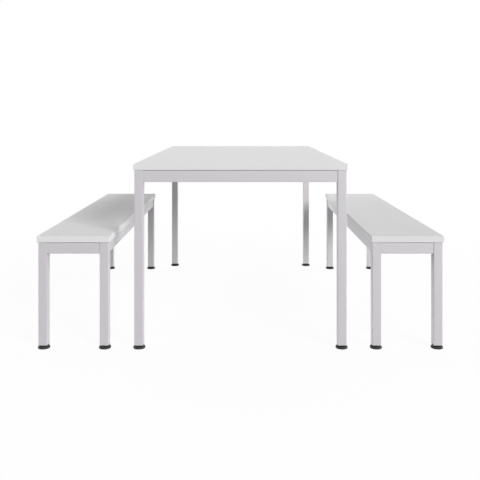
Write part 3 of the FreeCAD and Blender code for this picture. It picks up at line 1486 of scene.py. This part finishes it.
@dataclass
class BoardFixing:
    """A pan-head wood screw with its washer, about the world's Z axis, with the rail's top at height 0.

    Attributes:
        rail_wall: The wall that the screw is driven through.
        washer_thickness: The gap that the washer keeps between rail and board.
        washer_diameter: The washer's outer size.
        washer_sides: The facets round it.
        hole: The washer's hole.
        hole_edge: The rounding of the hole's edges.
        washer_edge: The rounding of the washer's outer edges.
        shank: The screw's diameter.
        grip: How far the screw goes into the board.
        thread_root: The radius at the thread's foot, as a share of the shank's.
        thread_pitch: The thread's rise in one turn.
        thread_steps: The facets of one turn.
        overlap: How far the thread reaches into the head.
        point_length: The length of the tapered point.
        point_radius: The radius of its end.
        head: The head's diameter.
        head_height: The head's height.
        head_sides: The facets round it.
        crown: The width of the head's crown, as a share of the head's.
        crown_edge: The rounding of the crown.
        rim_height: The height of the head's rim over the crown.
        rim_edge: The rounding of the rim.
        cross_width: The width of the cross recess.
        cross_blade: The thickness of each of its blades.
        cross_depth: Its depth.
        cross_taper: The width of its bottom, as a share of its mouth's.
    """

    rail_wall: float = 1.5 * MM
    washer_thickness: float = 1 * MM
    washer_diameter: float = 16 * MM
    washer_sides: int = 40
    hole: float = 5.3 * MM
    hole_edge: float = 0.2 * MM
    washer_edge: float = 0.3 * MM
    shank: float = 4.5 * MM
    grip: float = 18 * MM
    thread_root: float = 0.72
    thread_pitch: float = 2 * MM
    thread_steps: int = 14
    overlap: float = 0.5 * MM
    point_length: float = 6 * MM
    point_radius: float = 0.2 * MM
    head: float = 9 * MM
    head_height: float = 2.6 * MM
    head_sides: int = 28
    crown: float = 0.7
    crown_edge: float = 0.8 * MM
    rim_height: float = 1.2 * MM
    rim_edge: float = 0.6 * MM
    cross_width: float = 4.4 * MM
    cross_blade: float = 1 * MM
    cross_depth: float = 1.6 * MM
    cross_taper: float = 0.6

    def build_washer(self) -> Piece:
        """Turn a stamped washer with softly rounded edges.

        Returns:
            The washer.
        """
        inner = self.hole / 2
        outer = self.washer_diameter / 2
        top = self.washer_thickness
        return Hand.turn("washer", [
            Corner(inner, 0, self.hole_edge), Corner(outer, 0, self.washer_edge),
            Corner(outer, top, self.washer_edge), Corner(inner, top, self.hole_edge), Corner(inner, 0),
        ], self.washer_sides)

    def build_screw(self) -> Piece:
        """Wind the wood thread, point it, and put a pan head with a cross recess under it.

        Returns:
            The screw, with its head down.
        """
        seat = -self.rail_wall
        low = seat - self.head_height
        point = self.washer_thickness + self.grip
        radius = self.shank / 2
        outside = radius + MM
        thread = Thread(radius, self.thread_root * radius, self.thread_pitch, self.thread_steps)
        screw = thread.build("screw", seat - self.overlap, point)
        limit = Hand.turn("taper", [
            Corner(0, seat - MM), Corner(outside, seat - MM), Corner(outside, point - self.point_length),
            Corner(self.point_radius, point), Corner(0, point),
        ], self.thread_steps)
        Hand.combine(screw, limit, Joinery.KEEP)
        rim = self.head / 2
        pan = Hand.turn("pan", [
            Corner(0, low), Corner(rim * self.crown, low, self.crown_edge),
            Corner(rim, low + self.rim_height, self.rim_edge), Corner(rim, seat), Corner(0, seat),
        ], self.head_sides)
        Hand.combine(screw, pan, Joinery.ADD)
        Hand.combine(screw, self.cross(low), Joinery.CUT)
        Hand.heal(screw)
        return screw

    def cross(self, low: float) -> Piece:
        """Model the driver's cross that is pressed into the head: two tapered blades.

        Args:
            low: The height of the head's crown.

        Returns:
            The cross, as a solid to cut with.
        """
        reach = self.cross_width / 2
        thin = self.cross_blade / 2
        blades = []
        for x, y in ((reach, thin), (thin, reach)):
            box = Box(Vector((-x, -y, low - MM)), Vector((x, y, low + self.cross_depth)))
            blade = Hand.block("blade", box)
            Hand.choose(blade, Kind.FACES, looks_up)
            bpy.ops.transform.resize(value=(self.cross_taper, self.cross_taper, 1), center_override=ORIGIN)
            Hand.release()
            blades.append(blade)
        Hand.combine(*blades, Joinery.ADD)
        return blades[0]


@dataclass
class Furniture:
    """One table or bench: the pieces that dress its CAD nodes.

    Attributes:
        name: The unit's name, which is also its body's.
    """

    name: str

    def dress_board(self) -> None:
        """Give the CAD board its melamine, and glue the edging round it."""
        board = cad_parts[self.name + "_board"]
        board.data.materials.clear()
        board.data.materials.append(MELAMINE.material())
        hand_over(Edging(self.name).build(), EDGING, self.name, [self.name + "_edging"])

    def dress_frame(self) -> None:
        """Weld up the steel frame."""
        steel = SteelFrame(self.name)
        for node, piece in {**steel.build_legs(), **steel.build_rails()}.items():
            hand_over(piece, PAINT, self.name, [node])
        hand_over(steel.build_beads(), PAINT, self.name, [])

    def dress_inserts(self) -> None:
        """Press a plug into the lower end of each leg."""
        node = self.name + "_leg_inserts"
        room = Box.of(node)
        steel = SteelFrame(self.name)
        first = steel.leg_box(steel.CORNERS[0])
        model = LegInsert(first, room.low.z, room.high.z).build("plug")
        plugs = []
        for corner in steel.CORNERS:
            plugs.append(Hand.copy(model, "plug", steel.leg_box(corner).low - first.low))
        Hand.discard(model)
        hand_over(Hand.join(self.name + "_insert_plugs", plugs), NYLON, self.name, [node])

    def dress_fixings(self, models: Sequence[Piece]) -> None:
        """Drive a screw with its washer through every hole of the rails.

        Args:
            models: The screw and the washer.
        """
        parts = []
        for _, box, axis in SteelFrame(self.name).rails():
            for place in SteelFrame.screw_places(box, axis):
                parts.extend(Hand.copy(model, "fixing", place) for model in models)
        piece = Hand.join(self.name + "_screws_and_washers", parts)
        hand_over(piece, ZINC, self.name, [self.name + "_board_fixings"])

    def dress_feet(self, stud: Piece, base: Piece) -> None:
        """Screw a levelling foot into each leg: the stud and the base are bodies of their own.

        Args:
            stud: The modelled stud.
            base: The modelled base.
        """
        for corner in SteelFrame.CORNERS:
            for model, part, finish in ((stud, "foot_stud", ZINC), (base, "foot_base", NYLON)):
                node = f"{self.name}_{part}_{corner}"
                middle = Box.of(node).centre
                name = f"{self.name}_{part}_detail_{corner}"
                piece = Hand.copy(model, name, Vector((middle.x, middle.y, 0)))
                hand_over(piece, finish, node, [node])


@dataclass(frozen=True)
class Lamp:
    """A large soft lamp, far off.

    Attributes:
        name: What it is called.
        turn: Its direction, from the front towards the right, in degrees.
        rise: Its height over the floor, in degrees.
        spread: How wide it looks from the set, in degrees.
        strength: The light that it throws square on a surface.
    """

    name: str
    turn: float
    rise: float
    spread: float
    strength: float

    def hang(self) -> None:
        """Put the lamp in the scene, shining at the set."""
        lamp = bpy.data.lights.new(self.name, "SUN")
        lamp.angle = math.radians(self.spread)
        lamp.energy = self.strength
        turn = math.radians(self.turn)
        rise = math.radians(self.rise)
        away = Vector((math.sin(turn) * math.cos(rise), -math.cos(turn) * math.cos(rise), math.sin(rise)))
        holder = bpy.data.objects.new(self.name, lamp)
        holder.rotation_euler = away.to_track_quat("Z", "Y").to_euler()
        bpy.context.scene.collection.objects.link(holder)


@dataclass
class Studio:
    """The pale floor, the soft light and the camera.

    Attributes:
        floor_side: The floor's width.
        floor_tone: How light the floor is to the light that falls on it.
        shadow_tone: How light the shaded floor is that the camera sees faintly.
        shadow_share: How much of that shading the camera sees beside the furniture.
        shadow_end: How far from the middle of the set the shading has faded out.
        glow_side: The direction that the light from all round is strongest from.
        glow: Its strength there.
        lamps: The lamps.
        lens: The camera's focal length in millimetres.
        camera_place: Where the camera stands.
    """

    PICTURE_SIDE = 480
    HORIZON_ROW = 115
    MIDDLE_COLUMN = 240.45

    floor_side: float = 80.0
    floor_tone: float = 0.5
    shadow_tone: float = 0.96
    shadow_share: float = 0.06
    shadow_end: float = 3.0
    glow_side: tuple[float, float, float] = (0, 0.707, 0.707)
    glow: float = 0.53
    lamps: tuple[Lamp, ...] = (
        Lamp("key_lamp", turn=37.0, rise=22.0, spread=23.0, strength=2.9),
        Lamp("left_rim_lamp", turn=-122.0, rise=8.0, spread=40.0, strength=2.6),
        Lamp("right_rim_lamp", turn=128.0, rise=10.0, spread=40.0, strength=1.8),
    )
    lens: float = 49.875
    camera_place: tuple[float, float, float] = (0, -3.405, 0.935)

    @staticmethod
    def grey(tone: float) -> tuple[float, float, float, float]:
        """A colour without a hue."""
        return (tone, tone, tone, 1)

    @staticmethod
    def seen(graph: Graph) -> Socket:
        """Tell what the camera sees from other light.

        Args:
            graph: The material's or the sky's graph.

        Returns:
            1 for what it sees straight, mirrored or through glass, and 0 for the rest.
        """
        path = graph.add("LightPath").outputs
        mirrored = graph.math("MAXIMUM", path["Is Glossy Ray"], path["Is Transmission Ray"])
        return graph.math("MAXIMUM", path["Is Camera Ray"], mirrored)

    def build_floor(self) -> None:
        """Lay the floor: white to the camera with a faint shadow, see-through from underneath."""
        Hand.release()
        bpy.ops.mesh.primitive_plane_add(size=self.floor_side, location=ORIGIN)
        floor = Hand.settle("studio_floor")
        material = bpy.data.materials.new("studio_floor")
        material.use_nodes = True
        material.node_tree.nodes.clear()
        graph = Graph(material.node_tree)
        plain = graph.add("BsdfDiffuse", {"Color": self.grey(self.floor_tone)}).outputs[0]
        shaded = graph.add("BsdfDiffuse", {"Color": self.grey(self.shadow_tone)}).outputs[0]
        white = graph.add("Emission", {"Color": self.grey(1), "Strength": 1.0}).outputs[0]
        place = graph.add("TexCoord").outputs["Object"]
        reach = graph.add("VectorMath", {0: place}, operation="LENGTH").outputs["Value"]
        share = graph.span(reach, self.shadow_end / 3, self.shadow_end, self.shadow_share, 0.0)
        shown = graph.add("MixShader", {0: share, 1: white, 2: shaded}).outputs[0]
        front = graph.add("MixShader", {0: self.seen(graph), 1: plain, 2: shown}).outputs[0]
        below = graph.add("NewGeometry").outputs["Backfacing"]
        clear = graph.add("BsdfTransparent").outputs[0]
        surface = graph.add("MixShader", {0: below, 1: front, 2: clear}).outputs[0]
        graph.add("OutputMaterial", {"Surface": surface})
        floor.data.materials.append(material)

    def build_sky(self) -> None:
        """Light the set softly from above and behind, in front of a white background."""
        world = bpy.data.worlds.new("studio_sky")
        world.use_nodes = True
        world.node_tree.nodes.clear()
        graph = Graph(world.node_tree)
        way = graph.add("TexCoord").outputs["Generated"]
        share = graph.add("VectorMath", {0: way, 1: self.glow_side}, operation="DOT_PRODUCT")
        facing = graph.math("MAXIMUM", share.outputs["Value"], 0.0)
        light = graph.math("MULTIPLY", facing, self.glow)
        strength = graph.span(self.seen(graph), 0.0, 1.0, light, 1.0)
        background = graph.add("Background", {"Color": self.grey(1), "Strength": strength}).outputs[0]
        graph.add("OutputWorld", {"Surface": background})
        bpy.context.scene.world = world

    def build_camera(self) -> None:
        """Stand the camera level before the near end, looking along the table."""
        camera = bpy.data.cameras.new("camera")
        half = self.PICTURE_SIDE / 2
        camera.lens = self.lens
        camera.shift_x = (half - self.MIDDLE_COLUMN) / self.PICTURE_SIDE
        camera.shift_y = (self.HORIZON_ROW - half) / self.PICTURE_SIDE
        holder = bpy.data.objects.new("camera", camera)
        holder.location = self.camera_place
        holder.rotation_euler = (FULL_TURN / 4, 0, 0)
        bpy.context.scene.collection.objects.link(holder)
        bpy.context.scene.camera = holder

    def build(self) -> None:
        """Set up everything round the furniture."""
        self.build_floor()
        self.build_sky()
        for lamp in self.lamps:
            lamp.hang()
        self.build_camera()
        bpy.context.scene.view_settings.view_transform = "Standard"


def main() -> None:
    """Build the studio, model what the units share, and dress each unit."""
    logging.basicConfig(level=logging.INFO, format="%(name)s: %(message)s")
    Studio().build()
    foot = LevellingFoot(Box.of("table_foot_stud_front_left"), Box.of("table_foot_base_front_left"))
    stud = foot.build_stud("stud_model")
    base = foot.build_base("base_model")
    fixing = BoardFixing()
    fixings = [fixing.build_screw(), fixing.build_washer()]
    for name in ("table", "bench_left", "bench_right"):
        unit = Furniture(name)
        unit.dress_board()
        unit.dress_frame()
        unit.dress_inserts()
        unit.dress_fixings(fixings)
        unit.dress_feet(stud, base)
        LOG.info("%s is dressed", name)
    Hand.discard(stud, base, *fixings)


if __name__ == "__main__":
    main()
